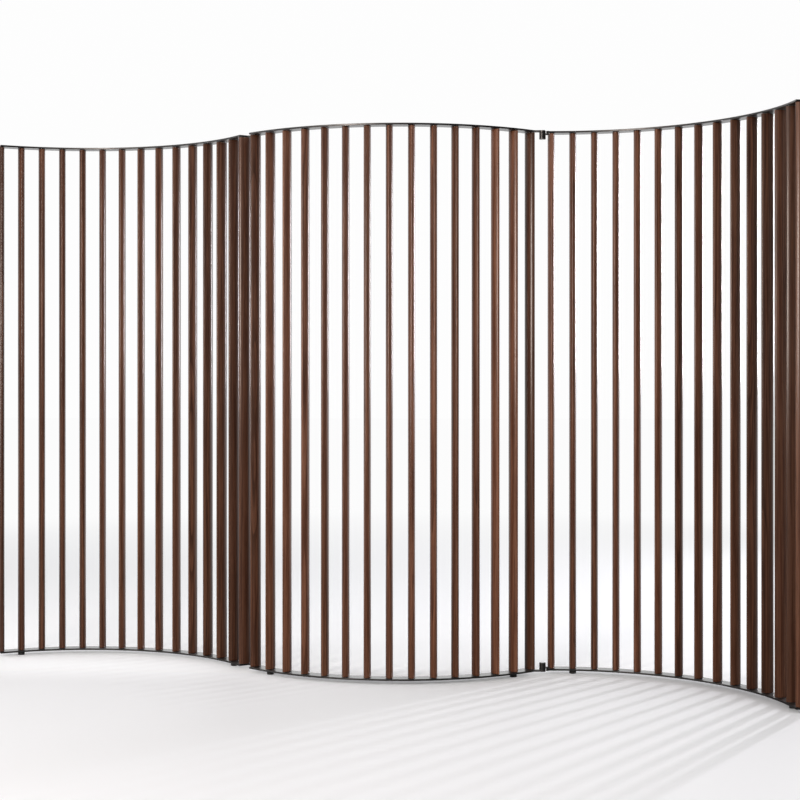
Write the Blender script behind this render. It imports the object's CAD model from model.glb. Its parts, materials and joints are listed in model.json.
"""Rotating slat room divider, dressed and lit for a studio picture.

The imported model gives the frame: where every slat axis and hinge axis stands. Around it this script
makes the walnut slats, the curved steel rails with their ears, the cranked hinge leaves and the
rubber feet as new meshes, and gives each of them its finish.
"""

import json
import logging
import math
from dataclasses import dataclass
from enum import Enum

import bmesh
import bpy
import numpy as np
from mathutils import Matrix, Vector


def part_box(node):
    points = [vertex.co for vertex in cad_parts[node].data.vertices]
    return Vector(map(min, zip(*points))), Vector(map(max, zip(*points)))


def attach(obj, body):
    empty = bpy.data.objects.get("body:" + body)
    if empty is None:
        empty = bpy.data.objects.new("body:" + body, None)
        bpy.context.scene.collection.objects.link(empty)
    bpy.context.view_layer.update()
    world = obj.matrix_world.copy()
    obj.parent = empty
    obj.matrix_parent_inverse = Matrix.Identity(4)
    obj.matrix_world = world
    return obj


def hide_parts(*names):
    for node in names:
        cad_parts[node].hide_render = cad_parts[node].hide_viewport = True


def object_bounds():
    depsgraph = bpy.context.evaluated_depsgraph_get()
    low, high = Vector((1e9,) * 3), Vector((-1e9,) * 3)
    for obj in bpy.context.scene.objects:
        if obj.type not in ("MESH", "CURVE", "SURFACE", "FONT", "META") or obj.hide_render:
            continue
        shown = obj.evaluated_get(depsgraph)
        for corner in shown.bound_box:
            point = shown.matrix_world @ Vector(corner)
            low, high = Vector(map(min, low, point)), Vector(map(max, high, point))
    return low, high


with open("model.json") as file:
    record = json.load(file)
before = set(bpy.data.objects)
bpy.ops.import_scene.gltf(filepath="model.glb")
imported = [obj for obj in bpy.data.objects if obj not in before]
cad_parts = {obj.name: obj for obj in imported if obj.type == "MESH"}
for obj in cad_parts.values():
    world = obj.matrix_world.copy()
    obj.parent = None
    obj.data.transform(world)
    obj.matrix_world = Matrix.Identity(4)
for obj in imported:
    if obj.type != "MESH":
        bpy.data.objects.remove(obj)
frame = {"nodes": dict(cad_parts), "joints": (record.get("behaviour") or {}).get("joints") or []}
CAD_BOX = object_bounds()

log = logging.getLogger("divider")

MM = 0.001
POLE = 0.01 * MM  # radius at which a turned end stops, to be merged at its axis
METAL_SHARP_ANGLE = math.radians(32)
SLAT_SHARP_ANGLE = math.radians(50)
ROUND_STEPS = 2


class Side(Enum):
    """The three panels, named as the photograph shows them."""

    LEFT = "left"
    MIDDLE = "middle"
    RIGHT = "right"

    @property
    def body(self) -> str:
        """Name of the body that the panel's rails ride on."""
        return f"panel_{self.value}"

    @property
    def has_ear(self) -> bool:
        """True if the rail's right end carries an ear for the next panel."""
        return self is not Side.RIGHT

    @property
    def has_leaf(self) -> bool:
        """True if the rail's left end carries a leaf of the panel before it."""
        return self is not Side.LEFT


class Level(Enum):
    """Which of a panel's two rails a piece belongs to."""

    TOP = "top"
    BOTTOM = "bottom"


@dataclass(frozen=True)
class DividerSizes:
    """Driving sizes of the divider, in metres.

    Heights marked "from the rail's outer face" are counted towards the middle of the slats.
    """

    slat_count: int = 15
    slat_width: float = 24 * MM
    slat_depth: float = 45 * MM
    nose_radius: float = 5 * MM
    slat_edge_round: float = 1.2 * MM
    rail_width: float = 48 * MM
    rail_thickness: float = 6 * MM
    rail_overhang: float = 6.5 * MM
    rail_edge_round: float = 0.6 * MM
    pivot_diameter: float = 6 * MM
    pivot_reach: float = 25 * MM
    hole_spare: float = 2 * MM
    running_fit: float = 0.05 * MM
    barrel_diameter: float = 22 * MM
    barrel_length: float = 24 * MM
    hinge_pin_diameter: float = 10 * MM
    ear_reach: float = 19.5 * MM
    leaf_reach: float = 26.5 * MM
    ear_root: float = 20 * MM
    ear_blend: float = 6 * MM
    neck_inset: float = 1 * MM
    arm_width: float = 8 * MM
    arm_thickness: float = 4 * MM
    arm_step: float = 4 * MM
    post_diameter: float = 9 * MM
    post_reach: float = 8.5 * MM
    face_gap: float = 0.3 * MM
    foot_height: float = 12 * MM
    foot_diameter: float = 24 * MM
    foot_slat: int = 2

    @property
    def hinge_offset(self) -> float:
        """Distance of a hinge axis from the rail's centre line."""
        return (self.rail_width + self.barrel_diameter) / 2


SIZES = DividerSizes()


# ---------------------------------------------------------------------------------------------
# Where things stand, read from the frame
# ---------------------------------------------------------------------------------------------


class PanelPlace:
    """Place of one panel in plan, worked out from the axes of its slat joints.

    A panel is drawn in its own plan: the middle slat at the origin, X along the rail and the centre
    of the arc at +Y. The outer panels bend the other way, so their plan is mirrored in Y.
    """

    def __init__(self, side: Side) -> None:
        """Reads the panel's slat axes and fits the arc through them.

        Args:
            side: the panel to place.
        """
        self.side = side
        self.axes = np.array([self._axis(side, i) for i in range(1, SIZES.slat_count + 1)])
        first, middle, last = self.axes[0], self.axes[SIZES.slat_count // 2], self.axes[-1]
        chord = last - first
        half = np.linalg.norm(chord) / 2
        across = np.array([-chord[1], chord[0]]) / (2 * half)
        rise = float(np.dot((first + last) / 2 - middle, across))
        self.bend = 1.0 if rise > 0 else -1.0
        self.radius = (half**2 + rise**2) / (2 * abs(rise))
        self.origin = middle
        self.heading = math.atan2(chord[1], chord[0])
        self.pitch = 2 * math.asin(half / self.radius) / (SIZES.slat_count - 1)
        self.rail_end = (SIZES.slat_count - 1) / 2 * self.pitch + SIZES.rail_overhang / self.radius

    @staticmethod
    def _axis(side: Side, number: int) -> tuple[float, float]:
        """Plan position of a slat's axis, from its joint."""
        name = f"slat_{side.value}_{number:02d}_turn"
        joint = next(j for j in frame["joints"] if j["name"] == name)
        return joint["pos_m"][0], joint["pos_m"][1]

    def angle(self, number: int) -> float:
        """Angle along the arc at which a slat stands, from the middle of the panel."""
        return (number - (SIZES.slat_count + 1) / 2) * self.pitch

    def along_rail(self, points: np.ndarray, angle: float) -> np.ndarray:
        """Moves plan points from a local frame on the rail's centre line into the panel's plan.

        Args:
            points: N x 2 points, X along the rail and Y towards the centre of its arc.
            angle: angle along the arc at which the local frame stands.

        Returns:
            N x 2 points in the panel's plan: turned by the angle about the centre of the arc.
        """
        c, s = math.cos(angle), math.sin(angle)
        x, y = points[:, 0], points[:, 1] - self.radius
        return np.column_stack([c * x - s * y, s * x + c * y + self.radius])

    def to_room(self, points: np.ndarray) -> np.ndarray:
        """Turns and moves plan points of the panel to where the panel stands.

        Args:
            points: N x 2 points in the panel's plan.

        Returns:
            N x 2 points in the part's frame.
        """
        c, s = math.cos(self.heading), math.sin(self.heading)
        x, y = points[:, 0], points[:, 1] * self.bend
        return np.column_stack([c * x - s * y, s * x + c * y]) + self.origin

    def solid_to_room(self, points: np.ndarray, level: Level, angle: float | None = None) -> np.ndarray:
        """Places the points of a rail fitting that is drawn from the rail's outer face.

        Args:
            points: N x 3 points, with Z counted from the outer face towards the slats.
            level: the rail that the fitting belongs to.
            angle: angle along the arc of the local frame that the points are in, or None if they
                are in the panel's plan already.

        Returns:
            N x 3 points in the part's frame.
        """
        plan = points[:, :2] if angle is None else self.along_rail(points[:, :2], angle)
        height = CAD_BOX[1].z - points[:, 2] if level is Level.TOP else SIZES.foot_height + points[:, 2]
        return np.column_stack([self.to_room(plan), height])


# ---------------------------------------------------------------------------------------------
# Mesh helpers
# ---------------------------------------------------------------------------------------------


def new_mesh(name: str, points: np.ndarray, faces: np.ndarray | list) -> bpy.types.Object:
    """Makes an object at the origin from points in the part's frame.

    Args:
        name: name of the object and its mesh.
        points: N x 3 vertices.
        faces: M x 4 vertex numbers, or a list of polygons.

    Returns:
        The new object, linked to the scene, with its faces pointing outwards.
    """
    mesh = bpy.data.meshes.new(name)
    mesh.from_pydata(points.tolist(), [], [list(f) for f in faces])
    tidy_mesh(mesh)
    piece = bpy.data.objects.new(name, mesh)
    bpy.context.scene.collection.objects.link(piece)
    return piece


def tidy_mesh(mesh: bpy.types.Mesh, reach: float = 0.005 * MM) -> None:
    """Merges doubled points and turns the faces outwards.

    Args:
        mesh: the mesh to tidy in place.
        reach: distance within which points are merged.
    """
    work = bmesh.new()
    work.from_mesh(mesh)
    bmesh.ops.remove_doubles(work, verts=work.verts, dist=reach)
    bmesh.ops.recalc_face_normals(work, faces=work.faces)
    work.to_mesh(mesh)
    work.free()
    mesh.update()


def smooth_but_edges(piece: bpy.types.Object) -> None:
    """Shades a piece smooth between its sharp edges, and keeps its flats flat."""
    mesh = piece.data
    mesh.polygons.foreach_set("use_smooth", np.ones(len(mesh.polygons), bool))
    mesh.set_sharp_from_angle(angle=METAL_SHARP_ANGLE)
    weighted = piece.modifiers.new("even_normals", "WEIGHTED_NORMAL")
    weighted.keep_sharp = True


def ring_faces(rings: int, around: int) -> np.ndarray:
    """Quads between neighbouring rings of a closed sweep.

    Args:
        rings: number of rings, stored one after the other.
        around: number of points in each ring.

    Returns:
        (rings - 1) * around quads.
    """
    i, j = np.meshgrid(np.arange(rings - 1), np.arange(around), indexing="ij")
    k = (j + 1) % around
    quads = np.stack([i * around + j, i * around + k, (i + 1) * around + k, (i + 1) * around + j], -1)
    return quads.reshape(-1, 4)


def arc(centre: tuple[float, float], radius: float, start: float, end: float, count: int) -> np.ndarray:
    """Points along an arc in plan: the centre plus the radius in each direction from start to end."""
    a = np.linspace(start, end, count)
    return np.column_stack([centre[0] + radius * np.cos(a), centre[1] + radius * np.sin(a)])


def circle(centre: tuple[float, float], radius: float, count: int) -> np.ndarray:
    """Points round a circle in plan, anticlockwise from its right side."""
    return arc(centre, radius, 0, 2 * math.pi, count + 1)[:-1]


def touch(centre: np.ndarray, radius: float, q: np.ndarray, side: int) -> np.ndarray:
    """Point at which a line from q touches a circle.

    Args:
        centre: the circle's centre.
        radius: the circle's radius.
        q: a point outside the circle.
        side: +1 or -1, the side of the circle to pass.

    Returns:
        The touching point. Seen from the centre it lies acos(radius / distance) from q.
    """
    away = q - centre
    angle = math.atan2(away[1], away[0]) + side * math.acos(radius / np.linalg.norm(away))
    return centre + radius * np.array([math.cos(angle), math.sin(angle)])


def line_meets_circle(q: np.ndarray, way: np.ndarray, centre: np.ndarray, radius: float) -> np.ndarray:
    """First point along a ray from inside a circle, or from outside towards it, that lies on it.

    Args:
        q: start of the ray.
        way: unit direction of the ray.
        centre: the circle's centre.
        radius: the circle's radius.

    Returns:
        The nearest meeting point with a positive distance: the root of |q + t way - centre| = radius.
    """
    off = q - centre
    b = float(off @ way)
    root = math.sqrt(b * b - float(off @ off) + radius**2)
    t = -b - root if -b - root > 0 else -b + root
    return q + t * way


def plate(
    name: str, outline: np.ndarray, holes: list[np.ndarray], thickness: float, edge: float
) -> bpy.types.Mesh:
    """Flat plate with rounded edges, cut to an outline with holes.

    The outline and the holes are drawn at the finished size. A filled plan curve is thickened by its
    depth, its edge is a quarter round of the given radius, and the whole is drawn in by that radius.

    Args:
        name: name of the mesh.
        outline: N x 2 closed outline.
        holes: closed outlines of the holes.
        thickness: height of the plate, which lies from Z = 0 up.
        edge: radius of the rounded edges.

    Returns:
        The plate's mesh.
    """
    curve = bpy.data.curves.new(name, "CURVE")
    curve.dimensions = "2D"
    curve.fill_mode = "BOTH"
    curve.extrude = thickness / 2 - edge
    curve.bevel_depth = edge
    curve.bevel_resolution = ROUND_STEPS
    curve.offset = -edge
    for loop in [outline, *holes]:
        spline = curve.splines.new("POLY")
        spline.points.add(len(loop) - 1)
        corners = np.column_stack([loop, np.zeros(len(loop)), np.ones(len(loop))])
        spline.points.foreach_set("co", corners.ravel())
        spline.use_cyclic_u = True
    holder = bpy.data.objects.new(name, curve)
    bpy.context.scene.collection.objects.link(holder)
    made = bpy.data.meshes.new_from_object(holder.evaluated_get(bpy.context.evaluated_depsgraph_get()))
    bpy.data.objects.remove(holder)
    bpy.data.curves.remove(curve)
    co = read_points(made)
    co[:, 2] += thickness / 2
    write_points(made, co)
    return made


def turned(name: str, profile: np.ndarray, centre: tuple[float, float], around: int = 48) -> bpy.types.Mesh:
    """Turned piece: a profile of radius against height carried round an upright axis.

    Args:
        name: name of the mesh.
        profile: N x 2 points (radius, height), from the axis or a bore and back to it.
        centre: plan position of the axis.
        around: number of points round the axis.

    Returns:
        The mesh. Each profile point gives the ring centre + radius (cos a, sin a).
    """
    a = np.linspace(0, 2 * math.pi, around, endpoint=False)
    r, z = profile[:, :1], profile[:, 1:]
    x = centre[0] + r * np.cos(a)
    y = centre[1] + r * np.sin(a)
    points = np.stack([x, y, np.broadcast_to(z, x.shape)], -1).reshape(-1, 3)
    mesh = bpy.data.meshes.new(name)
    mesh.from_pydata(points.tolist(), [], ring_faces(len(profile), around).tolist())
    return mesh


def read_points(mesh: bpy.types.Mesh) -> np.ndarray:
    """A mesh's vertices as an N x 3 array."""
    co = np.empty(len(mesh.vertices) * 3)
    mesh.vertices.foreach_get("co", co)
    return co.reshape(-1, 3)


def write_points(mesh: bpy.types.Mesh, points: np.ndarray) -> None:
    """Puts an N x 3 array back into a mesh's vertices."""
    mesh.vertices.foreach_set("co", points.ravel())
    mesh.update()


def rounded(corner: tuple[float, float], radius: float, start: float, count: int = 4) -> np.ndarray:
    """Quarter round of a turned profile, convex outwards.

    Args:
        corner: the corner (radius, height) that the round replaces, given by its centre of rounding.
        radius: radius of the round.
        start: angle at which the quarter starts, turning anticlockwise in (radius, height).
        count: number of points.

    Returns:
        count x 2 points.
    """
    return arc(corner, radius, start, start + math.pi / 2, count)


def join(name: str, meshes: list[bpy.types.Mesh]) -> bpy.types.Object:
    """Joins meshes that are already in place into one object at the origin.

    Args:
        name: name of the object.
        meshes: the meshes, which are used up.

    Returns:
        The joined object.
    """
    points, faces, start = [], [], 0
    for mesh in meshes:
        points.append(read_points(mesh))
        faces += [[start + v for v in p.vertices] for p in mesh.polygons]
        start += len(mesh.vertices)
        bpy.data.meshes.remove(mesh)
    return new_mesh(name, np.vstack(points), faces)


# ---------------------------------------------------------------------------------------------
# Shader groups and finishes
# ---------------------------------------------------------------------------------------------


Socket = bpy.types.NodeSocket
Value = bpy.types.NodeSocket | float | tuple


class Nodes:
    """Short hand for building a node tree."""

    MIX_A = 6
    MIX_B = 7
    MIX_RESULT = 2

    def __init__(self, tree: bpy.types.NodeTree) -> None:
        """Keeps the tree that nodes are added to."""
        self.tree = tree

    def feed(self, node: bpy.types.Node, inputs: dict) -> None:
        """Feeds a node's sockets.

        Args:
            node: the node.
            inputs: socket names or numbers, with a value or an output socket to link for each.
        """
        for key, value in inputs.items():
            if isinstance(value, Socket):
                self.tree.links.new(value, node.inputs[key])
            else:
                node.inputs[key].default_value = value

    def add(self, kind: str, inputs: dict | None = None, **settings: object) -> bpy.types.Node:
        """Adds a node.

        Args:
            kind: the node's type name.
            inputs: what to feed it with.
            settings: attributes of the node.

        Returns:
            The new node.
        """
        node = self.tree.nodes.new(kind)
        for key, value in settings.items():
            setattr(node, key, value)
        self.feed(node, inputs or {})
        return node

    def math(self, operation: str, a: Value, b: Value = 0.0, c: Value = 0.0) -> Socket:
        """Adds a Math node and returns its value."""
        return self.add("ShaderNodeMath", {0: a, 1: b, 2: c}, operation=operation).outputs[0]

    def ramp(self, value: Socket, low: float, high: float) -> Socket:
        """Value stretched so that low becomes 0 and high becomes 1, with soft ends."""
        node = self.add("ShaderNodeMapRange", {"Value": value, "From Min": low, "From Max": high})
        node.interpolation_type = "SMOOTHSTEP"
        return node.outputs["Result"]

    def mix(self, share: Socket, a: Value, b: Value) -> Socket:
        """Colour between a and b."""
        node = self.add("ShaderNodeMix", data_type="RGBA")
        self.feed(node, {"Factor": share, self.MIX_A: a, self.MIX_B: b})
        return node.outputs[self.MIX_RESULT]

    def stretched(self, vector: Socket, scale: tuple) -> Socket:
        """Coordinates scaled along each axis."""
        return self.add("ShaderNodeMapping", {"Vector": vector, "Scale": scale}).outputs["Vector"]

    def noise(self, vector: Socket, scale: Value, detail: float, roughness: float) -> Socket:
        """Noise from 0 to 1, with its detail in octaves."""
        values = {"Vector": vector, "Scale": scale, "Detail": detail, "Roughness": roughness}
        return self.add("ShaderNodeTexNoise", values).outputs["Fac"]

    def bump(self, strength: float, distance: float, height: Socket) -> Socket:
        """Normal tilted by a height, whose full step is the distance in metres."""
        values = {"Strength": strength, "Distance": distance, "Height": height}
        return self.add("ShaderNodeBump", values).outputs["Normal"]


def group(name: str, inputs: dict[str, str], outputs: dict[str, str]) -> tuple[bpy.types.NodeTree, Nodes]:
    """Starts a shader node group.

    Args:
        name: the group's name.
        inputs: input names, with "Float", "Color" or "Vector" for each.
        outputs: output names, likewise.

    Returns:
        The group's tree and a builder for it.
    """
    tree = bpy.data.node_groups.new(name, "ShaderNodeTree")
    for names, way in ((inputs, "INPUT"), (outputs, "OUTPUT")):
        for label, kind in names.items():
            tree.interface.new_socket(label, in_out=way, socket_type=f"NodeSocket{kind}")
    return tree, Nodes(tree)


@dataclass(frozen=True)
class WoodFigure:
    """Figure of a sawn board, from its board coordinates in metres.

    Growth rings are shells round a pith line beside the board, bent by slow noise. Streaks and pores
    are noise drawn out along the grain, and pores are the darkest, finest of it. A scale is given
    twice across the board and once along the grain.
    """

    bend_scale: tuple = (7.0, 7.0, 0.9)
    bend: float = 30 * MM
    plain_detail: float = 2.0
    plain_roughness: float = 0.5
    dark_ring: tuple = (0.35, 0.92)
    ring_end: tuple = (0.93, 1.0)
    streak_scale: tuple = (150.0, 150.0, 3.2)
    streak_detail: float = 4.0
    streak_roughness: float = 0.6
    pore_scale: tuple = (900.0, 900.0, 22.0)
    pore_range: tuple = (0.62, 0.74)
    pore_depth: float = 0.7
    streak_height: float = 0.3

    def build(self) -> bpy.types.NodeTree:
        """Makes the group.

        Returns:
            The group, with masks for rings, streaks and pores and a height for the bump.
        """
        tree, n = group(
            "WoodFigure",
            {"Board": "Vector", "Ring Width": "Float"},
            {"Rings": "Float", "Streaks": "Float", "Pores": "Float", "Height": "Float"},
        )
        start = n.add("NodeGroupInput")
        board = start.outputs["Board"]
        warp = n.noise(n.stretched(board, self.bend_scale), 1.0, self.plain_detail, self.plain_roughness)
        parts = n.add("ShaderNodeSeparateXYZ", {"Vector": board}).outputs
        squares = [n.math("POWER", parts[axis], 2.0) for axis in ("X", "Y")]
        from_pith = n.math("SQRT", n.math("ADD", *squares))
        bent = n.math("MULTIPLY_ADD", warp, self.bend, from_pith)
        phase = n.math("FRACT", n.math("DIVIDE", bent, start.outputs["Ring Width"]))
        ended = n.math("SUBTRACT", 1.0, n.ramp(phase, *self.ring_end))
        rings = n.math("MULTIPLY", n.ramp(phase, *self.dark_ring), ended)
        drawn = n.stretched(board, self.streak_scale)
        streaks = n.noise(drawn, 1.0, self.streak_detail, self.streak_roughness)
        specks = n.noise(n.stretched(board, self.pore_scale), 1.0, self.plain_detail, self.plain_roughness)
        pores = n.ramp(specks, *self.pore_range)
        raised = n.math("MULTIPLY", streaks, self.streak_height)
        height = n.math("MULTIPLY_ADD", pores, -self.pore_depth, raised)
        n.add("NodeGroupOutput", {"Rings": rings, "Streaks": streaks, "Pores": pores, "Height": height})
        return tree


@dataclass(frozen=True)
class WornSurface:
    """Uneven surface from Object coordinates: clouds of handling marks or dust, and fine grain."""

    cloud_detail: float = 5.0
    cloud_roughness: float = 0.65
    cloud_range: tuple = (0.35, 0.68)
    grain_detail: float = 3.0
    grain_roughness: float = 0.7
    grain_height: float = 0.5

    def build(self) -> bpy.types.NodeTree:
        """Makes the group.

        Returns:
            The group, with a cloud mask, a grain mask and a height for the bump.
        """
        tree, n = group(
            "WornSurface",
            {"Vector": "Vector", "Cloud Scale": "Float", "Grain Scale": "Float"},
            {"Clouds": "Float", "Grain": "Float", "Height": "Float"},
        )
        start = n.add("NodeGroupInput").outputs
        cloud = n.noise(start["Vector"], start["Cloud Scale"], self.cloud_detail, self.cloud_roughness)
        grain = n.noise(start["Vector"], start["Grain Scale"], self.grain_detail, self.grain_roughness)
        clouds = n.ramp(cloud, *self.cloud_range)
        height = n.math("MULTIPLY", grain, self.grain_height)
        n.add("NodeGroupOutput", {"Clouds": clouds, "Grain": grain, "Height": height})
        return tree


def blank_material(name: str) -> tuple[bpy.types.Material, Nodes, bpy.types.Node]:
    """Starts a node material.

    Args:
        name: the material's name.

    Returns:
        The material, a builder for its tree and its Principled BSDF.
    """
    material = bpy.data.materials.new(name)
    material.use_nodes = True
    n = Nodes(material.node_tree)
    return material, n, material.node_tree.nodes["Principled BSDF"]


def marked(n: Nodes, tree: bpy.types.NodeTree, inputs: dict) -> bpy.types.NodeOutputs:
    """Places a group of surface marks in a material and returns its outputs."""
    node = n.add("ShaderNodeGroup", node_tree=tree)
    n.feed(node, inputs)
    return node.outputs


@dataclass(frozen=True)
class WalnutFinish:
    """Dark walnut under a clear satin lacquer."""

    deep: tuple = (0.020, 0.0058, 0.0026, 1)
    body: tuple = (0.074, 0.0265, 0.0136, 1)
    pale: tuple = (0.150, 0.0620, 0.0335, 1)
    ring_width: float = 3.4 * MM
    ring_share: float = 0.55
    streak_range: tuple = (0.34, 0.66)
    pore_share: float = 0.7
    palest: float = 1.5
    roughness: float = 0.4
    streak_roughness: float = 0.1
    pore_roughness: float = 0.2
    gloss: float = 0.2
    gloss_tint: tuple = (1.0, 0.76, 0.62, 1)
    lacquer: float = 0.85
    lacquer_roughness: float = 0.23
    bump: float = 0.25
    bump_height: float = 0.3 * MM

    def build(self, figure: bpy.types.NodeTree) -> bpy.types.Material:
        """Makes the material. It reads the slat's own "board" and "tone" attributes.

        A board's colours are scaled by the palest board's brightness less the board's tone.

        Args:
            figure: the wood figure group.

        Returns:
            The material.
        """
        material, n, surface = blank_material("walnut")
        board = n.add("ShaderNodeAttribute", attribute_name="board").outputs["Vector"]
        tone = n.add("ShaderNodeAttribute", attribute_name="tone").outputs["Fac"]
        marks = marked(n, figure, {"Board": board, "Ring Width": self.ring_width})
        streaky = n.mix(n.ramp(marks["Streaks"], *self.streak_range), self.body, self.pale)
        ringed = n.mix(n.math("MULTIPLY", marks["Rings"], self.ring_share), streaky, self.deep)
        shade = n.math("MULTIPLY_ADD", tone, -1.0, self.palest)
        toned = n.add("ShaderNodeVectorMath", {0: ringed, "Scale": shade}, operation="SCALE").outputs[0]
        pored = n.mix(n.math("MULTIPLY", marks["Pores"], self.pore_share), toned, self.deep)
        rough = n.math("MULTIPLY_ADD", marks["Streaks"], self.streak_roughness, self.roughness)
        rough = n.math("MULTIPLY_ADD", marks["Pores"], self.pore_roughness, rough)
        n.feed(surface, {
            "Base Color": pored,
            "Roughness": rough,
            "Specular IOR Level": self.gloss,
            "Specular Tint": self.gloss_tint,
            "Coat Weight": self.lacquer,
            "Coat Roughness": self.lacquer_roughness,
            "Normal": n.bump(self.bump, self.bump_height, marks["Height"]),
        })
        return material


@dataclass(frozen=True)
class SteelFinish:
    """Satin steel, from dark grey plate to bright turned pins."""

    name: str
    colour: tuple
    shadowed: tuple
    roughness: float
    lacquer: float = 0.0
    lacquer_roughness: float = 0.25
    cloud_scale: float = 22.0
    cloud_share: float = 0.5
    cloud_roughness: float = 0.08
    grain_scale: float = 900.0
    grain_share: float = 0.25
    bump: float = 0.12
    bump_height: float = 0.1 * MM

    def build(self, worn: bpy.types.NodeTree) -> bpy.types.Material:
        """Makes the material.

        Args:
            worn: the worn surface group.

        Returns:
            The material.
        """
        material, n, surface = blank_material(self.name)
        where = n.add("ShaderNodeTexCoord").outputs["Object"]
        scales = {"Cloud Scale": self.cloud_scale, "Grain Scale": self.grain_scale}
        marks = marked(n, worn, {"Vector": where, **scales})
        cloudy = n.mix(n.math("MULTIPLY", marks["Clouds"], self.cloud_share), self.colour, self.shadowed)
        grained = n.mix(n.math("MULTIPLY", marks["Grain"], self.grain_share), cloudy, self.shadowed)
        n.feed(surface, {
            "Base Color": grained,
            "Roughness": n.math("MULTIPLY_ADD", marks["Clouds"], self.cloud_roughness, self.roughness),
            "Metallic": 1.0,
            "Coat Weight": self.lacquer,
            "Coat Roughness": self.lacquer_roughness,
            "Normal": n.bump(self.bump, self.bump_height, marks["Height"]),
        })
        return material


@dataclass(frozen=True)
class RubberFinish:
    """Black moulded rubber with a dusty bloom."""

    colour: tuple = (0.012, 0.012, 0.012, 1)
    bloom: tuple = (0.04, 0.039, 0.037, 1)
    bloom_share: float = 0.6
    roughness: float = 0.65
    grain_roughness: float = 0.15
    gloss: float = 0.35
    cloud_scale: float = 120.0
    grain_scale: float = 1600.0
    bump: float = 0.3
    bump_height: float = 0.15 * MM

    def build(self, worn: bpy.types.NodeTree) -> bpy.types.Material:
        """Makes the material.

        Args:
            worn: the worn surface group, whose clouds serve as dust.

        Returns:
            The material.
        """
        material, n, surface = blank_material("foot_rubber")
        where = n.add("ShaderNodeTexCoord").outputs["Object"]
        scales = {"Cloud Scale": self.cloud_scale, "Grain Scale": self.grain_scale}
        marks = marked(n, worn, {"Vector": where, **scales})
        dusty = n.mix(n.math("MULTIPLY", marks["Clouds"], self.bloom_share), self.colour, self.bloom)
        n.feed(surface, {
            "Base Color": dusty,
            "Roughness": n.math("MULTIPLY_ADD", marks["Grain"], self.grain_roughness, self.roughness),
            "Specular IOR Level": self.gloss,
            "Normal": n.bump(self.bump, self.bump_height, marks["Height"]),
        })
        return material


RAIL_STEEL = SteelFinish(
    "rail_steel", (0.085, 0.083, 0.083, 1), (0.05, 0.049, 0.049, 1), roughness=0.42, lacquer=0.6
)
PIN_STEEL = SteelFinish("pin_steel", (0.55, 0.55, 0.56, 1), (0.35, 0.35, 0.36, 1), roughness=0.22)


def dress(piece: bpy.types.Object, material: bpy.types.Material) -> None:
    """Gives a piece one material and nothing else."""
    piece.data.materials.clear()
    piece.data.materials.append(material)


# ---------------------------------------------------------------------------------------------
# Pieces
# ---------------------------------------------------------------------------------------------


@dataclass
class SlatSection:
    """Oval section of a slat: two flat side arcs that run tangent into two round noses."""

    width: float = SIZES.slat_width
    depth: float = SIZES.slat_depth
    nose: float = SIZES.nose_radius
    side_points: int = 12
    nose_points: int = 10

    def outline(self) -> tuple[np.ndarray, np.ndarray]:
        """Points and outward normals round the section, X across the width and Y along the depth.

        The side's radius follows from its being tangent to the nose: with c the nose's offset,
        side = ((width / 2)^2 + c^2 - nose^2) / (width - 2 nose).

        Returns:
            N x 2 points and N x 2 unit normals, anticlockwise from the right side.
        """
        c = self.depth / 2 - self.nose
        side = ((self.width / 2) ** 2 + c**2 - self.nose**2) / (self.width - 2 * self.nose)
        off = side - self.width / 2
        meet = math.atan2(c, off)
        quarter_side = np.linspace(0, meet, self.side_points, endpoint=False)
        quarter_nose = np.linspace(meet, math.pi / 2, self.nose_points, endpoint=False)
        angles = np.concatenate([quarter_side, quarter_nose])
        radii = np.concatenate([np.full(self.side_points, side), np.full(self.nose_points, self.nose)])
        side_centres = np.tile([-off, 0.0], (self.side_points, 1))
        nose_centres = np.tile([0.0, c], (self.nose_points, 1))
        centres = np.concatenate([side_centres, nose_centres])
        normals = np.column_stack([np.cos(angles), np.sin(angles)])
        first = centres + radii[:, None] * normals
        top = np.array([[0.0, self.depth / 2]])
        top_normal = np.array([[0.0, 1.0]])
        flip = np.array([-1.0, 1.0])
        right_half = np.vstack([first, top, (first * flip)[:0:-1]])
        right_normals = np.vstack([normals, top_normal, (normals * flip)[:0:-1]])
        return np.vstack([right_half, -right_half]), np.vstack([right_normals, -right_normals])


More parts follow.
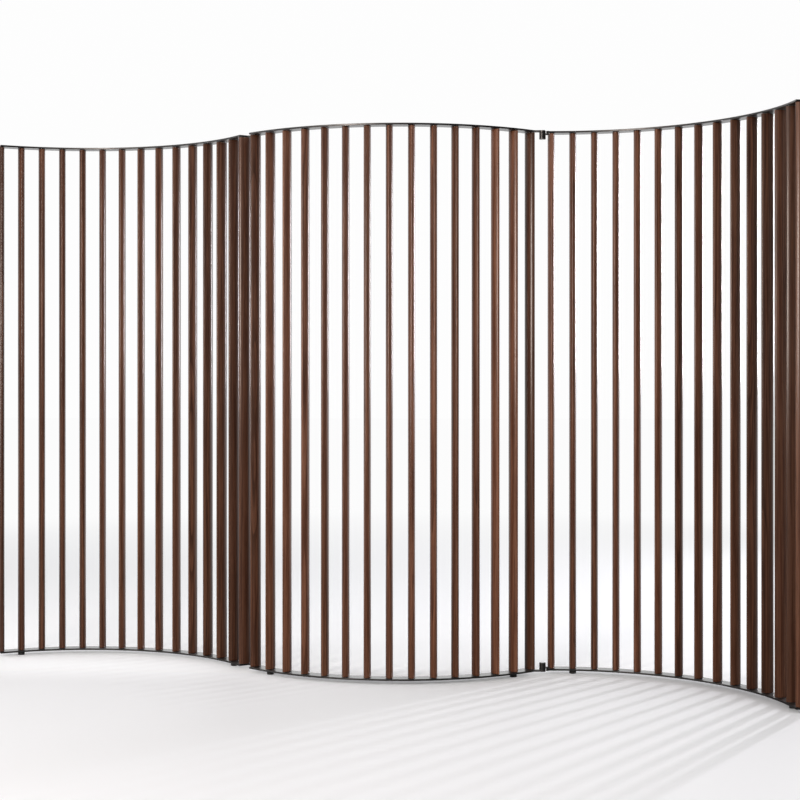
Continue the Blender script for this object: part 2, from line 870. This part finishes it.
@dataclass
class Slats:
    """All the slats of the divider, each with its own place in the log and its own tone.

    Tones run from 0 for pale to 1 for dark, and the pith's place is drawn in millimetres.
    """

    material: bpy.types.Material
    seed: int = 7
    edge_round: float = SIZES.slat_edge_round
    bore: float = SIZES.pivot_diameter / 2 + SIZES.running_fit
    bore_depth: float = SIZES.pivot_reach + SIZES.hole_spare
    edge_points: int = 5
    pith_near: tuple = (30, 25)
    pith_far: tuple = (70, 60)
    log_length: float = 40.0
    plain_tone: float = 0.5
    tone_spread: float = 0.08

    PICKED_BOARDS = {
        0.0: ("middle_13", "middle_14", "right_01", "right_04", "right_05", "right_06"),
        0.25: ("middle_02", "middle_03", "middle_04", "middle_09", "middle_10", "right_02", "right_03"),
        0.72: (
            "left_12", "left_14", "left_15", "middle_01",
            "middle_15", "right_10", "right_11", "right_13",
        ),
        0.95: ("left_01", "right_12", "right_14"),
    }

    def __post_init__(self) -> None:
        """Starts the draws and works out the section."""
        self.draws = np.random.default_rng(self.seed)
        self.points, self.normals = SlatSection().outline()

    def rings(self, low: float, high: float) -> tuple[np.ndarray, np.ndarray]:
        """Rings of one slat, from the floor of one bore, over the outside, to the other.

        Each ring is the section drawn in along its normals by an inset, at a height; the bores'
        rings are circles. The rounded arris is a quarter of a circle of insets and heights.

        Args:
            low: height of the lower end.
            high: height of the upper end.

        Returns:
            R x N x 2 plan points and R heights.
        """
        quarter = np.linspace(0, math.pi / 2, self.edge_points)
        inset = self.edge_round * (1 - np.sin(quarter))
        rise = self.edge_round * (1 - np.cos(quarter))
        round_hole = self.points / np.linalg.norm(self.points, axis=1)[:, None]
        holes = [round_hole * 2 * POLE, round_hole * self.bore, round_hole * self.bore]
        hole_heights = [low + self.bore_depth, low + self.bore_depth, low]
        outside = [self.points - i * self.normals for i in inset]
        plan = holes + outside + outside[::-1] + holes[::-1]
        upper_holes = [low + high - h for h in hole_heights[::-1]]
        heights = hole_heights + list(low + rise) + list((high - rise)[::-1]) + upper_holes
        return np.array(plan), np.array(heights)

    def make(self, place: PanelPlace, number: int) -> bpy.types.Object:
        """Makes one slat where its CAD node stands, and gives it its own board coordinates.

        Args:
            place: the panel it belongs to.
            number: its number in the panel.

        Returns:
            The slat.
        """
        name = f"slat_{place.side.value}_{number:02d}"
        low, high = (corner.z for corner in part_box(name))
        plan, heights = self.rings(low, high)
        rings, around = plan.shape[:2]
        flat = plan.reshape(-1, 2)
        z = np.repeat(heights, around)
        where = place.to_room(place.along_rail(flat, place.angle(number)))
        piece = self.to_object(f"{name}_walnut", np.column_stack([where, z]), ring_faces(rings, around))
        pith = self.draws.uniform(self.pith_near, self.pith_far) * MM
        start = self.draws.uniform(0, self.log_length)
        facing = self.draws.choice([-1, 1])
        board = np.column_stack([flat[:, 0] + pith[0], flat[:, 1] * facing + pith[1], z + start])
        self.attribute(piece.data, "board", "FLOAT_VECTOR", "vector", board)
        self.attribute(piece.data, "tone", "FLOAT", "value", np.full(len(z), self.tone(name)))
        self.unwrap(piece.data, around)
        dress(piece, self.material)
        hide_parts(name)
        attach(piece, name)
        return piece

    def tone(self, name: str) -> float:
        """Tone of a board: the plain tone unless it was picked out, give or take the spread."""
        board = name.removeprefix("slat_")
        picked = [tone for tone, boards in self.PICKED_BOARDS.items() if board in boards]
        middle = picked[0] if picked else self.plain_tone
        return middle + self.draws.uniform(-self.tone_spread, self.tone_spread)

    @staticmethod
    def to_object(name: str, points: np.ndarray, quads: np.ndarray) -> bpy.types.Object:
        """Puts a sweep's points and quads into a new object, in their order.

        Args:
            name: name of the object.
            points: N x 3 vertices.
            quads: M x 4 vertex numbers.

        Returns:
            The object, shaded smooth between its sharp edges.
        """
        mesh = bpy.data.meshes.new(name)
        mesh.from_pydata(points.tolist(), [], quads.tolist())
        mesh.polygons.foreach_set("use_smooth", np.ones(len(quads), bool))
        mesh.set_sharp_from_angle(angle=SLAT_SHARP_ANGLE)
        piece = bpy.data.objects.new(name, mesh)
        bpy.context.scene.collection.objects.link(piece)
        return piece

    @staticmethod
    def attribute(mesh: bpy.types.Mesh, name: str, kind: str, field: str, values: np.ndarray) -> None:
        """Stores values on a mesh's points."""
        mesh.attributes.new(name, kind, "POINT").data.foreach_set(field, values.ravel())

    @staticmethod
    def unwrap(mesh: bpy.types.Mesh, around: int) -> None:
        """Lays a UV map on a sweep: across by the place in the ring, up by the ring.

        Args:
            mesh: the sweep's mesh.
            around: number of points in a ring.
        """
        loops = np.empty(len(mesh.loops), int)
        mesh.loops.foreach_get("vertex_index", loops)
        quads = loops.reshape(-1, 4)
        ring, step = np.divmod(quads, around)
        wraps = (step.max(1) - step.min(1) > around / 2)[:, None] & (step == 0)
        u = (step + wraps * around) / around
        v = ring / ring.max()
        uv = mesh.uv_layers.new(name="slat")
        uv.data.foreach_set("uv", np.stack([u, v], -1).ravel())


@dataclass
class Rails:
    """The curved steel plates, with their ears and pivot holes."""

    material: bpy.types.Material
    half: float = SIZES.rail_width / 2
    thickness: float = SIZES.rail_thickness
    edge_round: float = SIZES.rail_edge_round
    ear_start: float = 0.5 * MM
    outer_points: int = 96
    inner_points: int = 90
    ear_points: int = 28
    hole_points: int = 24
    eye_points: int = 32

    def outline(self, place: PanelPlace) -> np.ndarray:
        """Outline of a rail in the panel's plan.

        It runs along the outer arc, round the ear if there is one, over the end and back along the
        inner arc.

        Args:
            place: the panel.

        Returns:
            N x 2 closed outline.
        """
        centre = (0.0, place.radius)
        outer, inner = place.radius + self.half, place.radius - self.half
        left, right = -place.rail_end - math.pi / 2, place.rail_end - math.pi / 2
        back = arc(centre, inner, right, left, self.inner_points)
        if not place.side.has_ear:
            return np.vstack([arc(centre, outer, left, right, self.outer_points), back])
        ear = place.along_rail(self.ear_outline(place), place.rail_end)
        away = ear[0] - np.array(centre)
        front = arc(centre, outer, left, math.atan2(away[1], away[0]), self.outer_points)
        return np.vstack([front[:-1], ear, back])

    def ear_outline(self, place: PanelPlace) -> np.ndarray:
        """Ear in the local frame at the rail's right end, from the outer edge to the end face.

        Its sides are lines that touch a circle a neck's depth inside the round end, so they meet the
        round end at a slight neck.

        Args:
            place: the panel.

        Returns:
            N x 2 points, open at the rail.
        """
        centre = np.array([SIZES.ear_reach, -SIZES.hinge_offset])
        radius = SIZES.barrel_diameter / 2
        neck = radius - SIZES.neck_inset
        shy = math.sqrt(radius**2 - neck**2)
        front_q = np.array([-SIZES.ear_blend, self.ear_start - self.half])
        back_q = np.array([-SIZES.ear_blend, SIZES.ear_root - self.half])
        ends = []
        for q, side in ((front_q, 1), (back_q, -1)):
            foot = touch(centre, neck, q, side)
            way = (foot - q) / np.linalg.norm(foot - q)
            ends.append((q, way, foot - shy * way))
        outer_centre = np.array([0.0, place.radius])
        leave = line_meets_circle(ends[0][0], ends[0][1], outer_centre, place.radius + self.half)
        q, way, meet = ends[1]
        at_end = q + way * (-q[0] / way[0])
        first = math.atan2(*(ends[0][2] - centre)[::-1])
        last = math.atan2(*(meet - centre)[::-1])
        if last < first:
            last += 2 * math.pi
        return np.vstack([leave, arc(tuple(centre), radius, first, last, self.ear_points), at_end])

    def make(self, place: PanelPlace, level: Level) -> bpy.types.Object:
        """Makes one rail.

        Args:
            place: the panel.
            level: top or bottom.

        Returns:
            The rail.
        """
        node = f"rail_{level.value}_{place.side.value}"
        hole = circle((0.0, 0.0), SIZES.pivot_diameter / 2, self.hole_points)
        holes = [place.along_rail(hole, place.angle(i)) for i in range(1, SIZES.slat_count + 1)]
        if place.side.has_ear:
            at = (SIZES.ear_reach, -SIZES.hinge_offset)
            eye = circle(at, SIZES.hinge_pin_diameter / 2, self.eye_points)
            holes.append(place.along_rail(eye, place.rail_end))
        mesh = plate(node, self.outline(place), holes, self.thickness, self.edge_round)
        write_points(mesh, place.solid_to_room(read_points(mesh), level))
        piece = join(f"{node}_plate", [mesh])
        smooth_but_edges(piece)
        dress(piece, self.material)
        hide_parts(node)
        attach(piece, place.side.body)
        return piece


@dataclass
class HingeLeaves:
    """The cranked leaves with their barrels, at the left end of the middle and the right panel."""

    material: bpy.types.Material
    barrel_radius: float = SIZES.barrel_diameter / 2
    bore: float = SIZES.hinge_pin_diameter / 2 + SIZES.running_fit
    barrel_round: float = 0.9 * MM
    post_round: float = 0.7 * MM
    post_points: int = 32
    bite: float = 0.7 * SIZES.barrel_diameter / 2

    def __post_init__(self) -> None:
        """Works out the line of the arm."""
        self.root = np.array([0.0, (SIZES.rail_width - SIZES.arm_width) / 2])
        self.axis = np.array([-SIZES.leaf_reach, SIZES.hinge_offset])
        self.slope = (self.axis - self.root)[1] / SIZES.leaf_reach
        self.way = (self.axis - self.root) / np.linalg.norm(self.axis - self.root)
        self.post = np.array([-SIZES.post_reach, self.root[1] + SIZES.post_reach * self.slope])

    def strip(self, start: np.ndarray, end: np.ndarray) -> np.ndarray:
        """Straight strip of the arm's width between two points of its line."""
        side = np.array([-self.way[1], self.way[0]]) * SIZES.arm_width / 2
        return np.array([start + side, start - side, end - side, end + side])

    def barrel(self) -> bpy.types.Mesh:
        """Bored barrel with rounded ends, a face gap off the ear that it stands on."""
        start = SIZES.rail_thickness + SIZES.face_gap
        end = start + SIZES.barrel_length
        radius, bore, edge = self.barrel_radius, self.bore, self.barrel_round
        profile = np.vstack([
            [bore, start + edge / 2],
            [bore + edge / 2, start],
            rounded((radius - edge, start + edge), edge, -math.pi / 2),
            rounded((radius - edge, end - edge), edge, 0.0),
            [bore + edge / 2, end],
            [bore, end - edge / 2],
            [bore, start + edge / 2],
        ])
        return turned("barrel", profile, tuple(self.axis))

    def post_mesh(self) -> bpy.types.Mesh:
        """Round post at which the leaf steps from the arm down to the rail, with rounded ends."""
        top = SIZES.rail_thickness + SIZES.arm_step + SIZES.arm_thickness
        radius, edge = SIZES.post_diameter / 2, self.post_round
        profile = np.vstack([
            [POLE, 0.0],
            rounded((radius - edge, edge), edge, -math.pi / 2),
            rounded((radius - edge, top - edge), edge, 0.0),
            [POLE, top],
        ])
        return turned("post", profile, tuple(self.post), self.post_points)

    def bar(self, start: np.ndarray, end: np.ndarray, low: float, thickness: float) -> bpy.types.Mesh:
        """Flat bar along the arm's line, with rounded edges, from a height up."""
        mesh = plate("bar", self.strip(start, end), [], thickness, SIZES.rail_edge_round)
        co = read_points(mesh)
        co[:, 2] += low
        write_points(mesh, co)
        return mesh

    def foot_bar(self) -> bpy.types.Mesh:
        """Root of the leaf at the level of the rail, cut square along the rail's end."""
        strip = self.strip(self.root, self.post)
        for k in (0, 1):
            strip[k] -= self.way * (strip[k][0] / self.way[0])
        return plate("root", strip, [], SIZES.rail_thickness, SIZES.rail_edge_round)

    def make(self, place: PanelPlace) -> bpy.types.Object:
        """Makes the upper and the lower leaf of a panel as one piece.

        Args:
            place: the panel that carries the leaves.

        Returns:
            The leaves.
        """
        node = f"hinge_leaves_{place.side.value}"
        arm_low = SIZES.rail_thickness + SIZES.arm_step
        inner_end = self.axis - self.way * self.bite
        meshes = []
        for level in Level:
            for mesh in (
                self.barrel(),
                self.post_mesh(),
                self.bar(self.post, inner_end, arm_low, SIZES.arm_thickness),
                self.foot_bar(),
            ):
                write_points(mesh, place.solid_to_room(read_points(mesh), level, -place.rail_end))
                meshes.append(mesh)
        piece = join(f"{node}_steel", meshes)
        smooth_but_edges(piece)
        dress(piece, self.material)
        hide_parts(node)
        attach(piece, place.side.body)
        return piece


@dataclass
class Feet:
    """The black discs that the divider stands on. Their waist and rim start at shares of the height."""

    material: bpy.types.Material
    tread_round: float = 1.5 * MM
    rim_round: float = 0.6 * MM
    waist: float = 0.35 * MM
    waist_low: float = 0.35
    waist_high: float = 0.62
    rim_low: float = 0.72
    tread_points: int = 6

    def profile(self) -> np.ndarray:
        """Profile of a foot: a flat tread, a rounded shoulder and a shallow waist under the rim."""
        radius, height = SIZES.foot_diameter / 2, SIZES.foot_height
        tread, rim = self.tread_round, self.rim_round
        return np.vstack([
            [POLE, 0.0],
            rounded((radius - tread, tread), tread, -math.pi / 2, self.tread_points),
            [radius - self.waist, height * self.waist_low],
            [radius - self.waist, height * self.waist_high],
            [radius, height * self.rim_low],
            rounded((radius - rim, height - rim), rim, 0.0),
            [POLE, height],
        ])

    def make(self, place: PanelPlace) -> bpy.types.Object:
        """Makes a panel's two feet as one piece.

        Args:
            place: the panel.

        Returns:
            The feet.
        """
        node = f"feet_{place.side.value}"
        meshes = []
        for number in (SIZES.foot_slat, SIZES.slat_count + 1 - SIZES.foot_slat):
            mesh = turned("foot", self.profile(), (0.0, 0.0))
            co = read_points(mesh)
            plan = place.to_room(place.along_rail(co[:, :2], place.angle(number)))
            write_points(mesh, np.column_stack([plan, co[:, 2]]))
            meshes.append(mesh)
        piece = join(f"{node}_rubber", meshes)
        smooth_but_edges(piece)
        dress(piece, self.material)
        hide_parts(node)
        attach(piece, place.side.body)
        return piece


# ---------------------------------------------------------------------------------------------
# Studio
# ---------------------------------------------------------------------------------------------


@dataclass(frozen=True)
class Lamp:
    """Rectangular soft lamp: where it stands, what it points at, its size and its power in watts."""

    name: str
    at: tuple
    aim: tuple
    width: float
    height: float
    power: float
    colour: tuple

    def build(self) -> None:
        """Makes the lamp and turns it to its aim, upright."""
        data = bpy.data.lights.new(self.name, "AREA")
        data.shape = "RECTANGLE"
        data.size, data.size_y = self.width, self.height
        data.energy = self.power
        data.color = self.colour
        lamp = bpy.data.objects.new(self.name, data)
        lamp.location = self.at
        away = np.subtract(self.aim, self.at)
        drop = math.atan2(-away[2], math.hypot(away[0], away[1]))  # below the level
        lamp.rotation_euler = (math.pi / 2 - drop, 0.0, math.atan2(away[1], away[0]) - math.pi / 2)
        bpy.context.scene.collection.objects.link(lamp)


@dataclass(frozen=True)
class Studio:
    """Pale floor and white surroundings, with three upright lamps.

    The narrow lamp behind the divider at its right draws the slats' shadows on the floor. The wide
    ones stand at the left of the camera and at the left of the divider. Levels round the room run
    from the front by the left, the back and the right to the front again, an eighth of a turn
    apart. A pair of floor values is where a change starts and where it ends, in metres. Depths are
    counted towards the back, and distances outwards.
    """

    camera_at: tuple = (0.3425, -5.2326, 1.0236)
    camera_turn: float = math.radians(3.10)
    focal_px: float = 1565.98
    centre_px: tuple = (384.80, 373.03)
    picture_px: float = 800.0
    sensor_mm: float = 36.0
    view_reach: float = 100.0
    lamps: tuple = (
        Lamp("rear_lamp", (3.5, 3.2, 1.8), (-0.4, -0.5, 1.8), 0.12, 1.6, 86.0, (0.98, 0.95, 1.0)),
        Lamp("front_lamp", (-2.3, -4.7, 2.1), (0.5, 0.0, 1.8), 0.6, 2.0, 128.0, (1.0, 0.88, 0.8)),
        Lamp("left_lamp", (-5.0, -0.5, 1.2), (0.1, 0.0, 1.2), 0.8, 1.6, 50.0, (1.0, 0.95, 0.92)),
    )
    surround_colour: tuple = (0.985, 0.985, 0.985, 1)
    fill_round: tuple = (0.8, 1.5, 3.3, 0.0, 1.3, 0.0, 1.7, 4.0, 0.8)
    fill_above: float = 0.37
    shine_round: tuple = (0.06, 0.4, 0.3, 0.7, 1.5, 0.1, 0.05, 0.05, 0.06)
    shine_above: float = 0.35
    above_from: tuple = (0.45, 0.75)
    floor_half: float = 30.0
    floor_colour: tuple = (0.855, 0.865, 0.885, 1)
    floor_bounce: tuple = (0.27, 0.27, 0.27, 1)
    floor_mirrored: tuple = (0.03, 0.03, 0.03, 1)
    floor_roughness: float = 0.6
    floor_gloss: float = 0.3
    floor_lift: float = 0.2
    far_colour: tuple = (0.97, 0.97, 0.97, 1)
    fade_depth: tuple = (0.8, 7.0)
    fade_distance: tuple = (3.0, 6.5)
    mirrored_depth: tuple = (0.6, -0.6)
    mirrored_fade_depth: tuple = (0.2, 3.0)
    lift_depth: tuple = (-0.15, 0.25)
    lift_end_depth: tuple = (3.4, -0.2)

    def camera(self) -> None:
        """Makes the level camera, whose shift sets the picture's centre."""
        data = bpy.data.cameras.new("camera")
        data.sensor_width = self.sensor_mm
        data.lens = self.focal_px / self.picture_px * data.sensor_width
        data.shift_x = (self.picture_px / 2 - self.centre_px[0]) / self.picture_px
        data.shift_y = (self.centre_px[1] - self.picture_px / 2) / self.picture_px
        data.clip_end = self.view_reach
        camera = bpy.data.objects.new("camera", data)
        camera.location = self.camera_at
        camera.rotation_euler = (math.pi / 2, 0.0, self.camera_turn)
        bpy.context.scene.collection.objects.link(camera)
        bpy.context.scene.camera = camera

    @staticmethod
    def round_room(n: Nodes, bearing: Socket, levels: tuple) -> Socket:
        """Brightness of the room by compass bearing, straight between evenly spaced levels.

        Args:
            n: builder for the world's tree.
            bearing: 0 and 1 towards the front, 0.25 to the left, 0.5 behind the divider.
            levels: brightness from the front, by the left, the back and the right, to the front.

        Returns:
            The brightness.
        """
        top = max(levels)
        ramp = n.add("ShaderNodeValToRGB", {"Fac": bearing})
        stops = ramp.color_ramp.elements
        for k in range(1, len(levels) - 1):
            stops.new(k / (len(levels) - 1))
        for stop, level in zip(stops, levels):
            stop.color = (level / top, level / top, level / top, 1)
        return n.math("MULTIPLY", ramp.outputs["Color"], top)

    def surroundings(self) -> None:
        """Makes the world: white where it is seen, and lit by compass bearing for all else.

        Dull surfaces take light from both sides and some from above. Glossy ones see a bright
        backdrop straight behind the divider, some light at its left and a dim room elsewhere.
        """
        world = bpy.data.worlds.new("studio")
        bpy.context.scene.world = world
        world.use_nodes = True
        n = Nodes(world.node_tree)
        way = n.add("ShaderNodeSeparateXYZ", {"Vector": n.add("ShaderNodeTexCoord").outputs["Generated"]})
        turn = n.math("ARCTAN2", way.outputs["X"], way.outputs["Y"])
        bearing = n.math("MULTIPLY_ADD", turn, 1 / (2 * math.pi), 0.5)
        path = n.add("ShaderNodeLightPath").outputs
        above = n.ramp(way.outputs["Z"], *self.above_from)
        below = n.math("SUBTRACT", 1.0, above)
        lights = []
        for levels, top in ((self.fill_round, self.fill_above), (self.shine_round, self.shine_above)):
            around = n.math("MULTIPLY", self.round_room(n, bearing, levels), below)
            lights.append(n.math("MULTIPLY_ADD", above, top, around))
        fill, shine = lights
        dull = n.math("SUBTRACT", 1.0, path["Is Glossy Ray"])
        level = n.math("MULTIPLY_ADD", shine, path["Is Glossy Ray"], n.math("MULTIPLY", fill, dull))
        unseen = n.math("SUBTRACT", 1.0, path["Is Camera Ray"])
        strength = n.math("MULTIPLY_ADD", level, unseen, path["Is Camera Ray"])
        n.feed(world.node_tree.nodes["Background"], {"Color": self.surround_colour, "Strength": strength})

    def floor(self) -> None:
        """Makes the floor: pale and shadowed near the divider, fading to white behind and far away.

        Between the slats a small glow, seen only by the camera, lifts the shade. To other rays the
        floor is duller, so that little light bounces up, and before the divider it mirrors dark.
        """
        corners = [(-1, -1, 0), (1, -1, 0), (1, 1, 0), (-1, 1, 0)]
        piece = new_mesh("floor", self.floor_half * np.array(corners, float), [[0, 1, 2, 3]])
        material, n, surface = blank_material("pale_floor")
        path = n.add("ShaderNodeLightPath").outputs
        seen, glossy = path["Is Camera Ray"], path["Is Glossy Ray"]
        place = n.add("ShaderNodeTexCoord").outputs["Object"]
        depth = n.add("ShaderNodeSeparateXYZ", {"Vector": place}).outputs["Y"]
        distance = n.add("ShaderNodeVectorMath", {0: place}, operation="LENGTH").outputs["Value"]
        dark = n.math("MULTIPLY", glossy, n.ramp(depth, *self.mirrored_depth))
        bounce = n.mix(dark, self.floor_bounce, self.floor_mirrored)
        n.feed(surface, {
            "Base Color": n.mix(seen, bounce, self.floor_colour),
            "Roughness": self.floor_roughness,
            "Specular IOR Level": self.floor_gloss,
        })
        faded = n.ramp(depth, *self.fade_depth)
        for ray, fade in (
            (seen, n.ramp(distance, *self.fade_distance)),
            (glossy, n.ramp(depth, *self.mirrored_fade_depth)),
        ):
            faded = n.math("MAXIMUM", faded, n.math("MULTIPLY", ray, fade))
        beside = n.math("MULTIPLY", n.ramp(depth, *self.lift_depth), n.ramp(depth, *self.lift_end_depth))
        lift = n.math("MULTIPLY", seen, n.math("MULTIPLY", beside, self.floor_lift))
        glow = n.add("ShaderNodeEmission", {"Color": (1, 1, 1, 1), "Strength": lift})
        lifted = n.add("ShaderNodeAddShader", {0: surface.outputs[0], 1: glow.outputs[0]})
        white = n.add("ShaderNodeEmission", {"Color": self.far_colour, "Strength": 1.0})
        blend = n.add("ShaderNodeMixShader", {0: faded, 1: lifted.outputs[0], 2: white.outputs[0]})
        n.feed(material.node_tree.nodes["Material Output"], {"Surface": blend.outputs[0]})
        dress(piece, material)

    def build(self) -> None:
        """Sets up the whole studio."""
        bpy.context.scene.view_settings.view_transform = "Standard"
        self.camera()
        for lamp in self.lamps:
            lamp.build()
        self.surroundings()
        self.floor()
        log.info("studio: camera, %d lamps, surroundings and floor", len(self.lamps))


def write_sizes() -> None:
    """Writes the CAD model's box and the dressed model's box, as plain lists."""
    bpy.context.view_layer.update()


def main() -> None:
    """Builds the studio and dresses the divider, panel by panel."""
    logging.basicConfig(level=logging.INFO, format="%(name)s: %(message)s")
    Studio().build()
    worn = WornSurface().build()
    rail_steel, pin_steel = RAIL_STEEL.build(worn), PIN_STEEL.build(worn)
    slats = Slats(WalnutFinish().build(WoodFigure().build()))
    rails, leaves = Rails(rail_steel), HingeLeaves(rail_steel)
    feet = Feet(RubberFinish().build(worn))
    for side in Side:
        place = PanelPlace(side)
        pieces = [slats.make(place, number) for number in range(1, SIZES.slat_count + 1)]
        pieces += [rails.make(place, level) for level in Level]
        pieces.append(feet.make(place))
        if side.has_leaf:
            pieces.append(leaves.make(place))
        pins = frame["nodes"][f"pins_{side.value}"]
        dress(pins, pin_steel)
        for piece in [*pieces, pins]:
            log.info("%s panel: %s", side.value, piece.name)
    write_sizes()


if __name__ == "__main__":
    main()
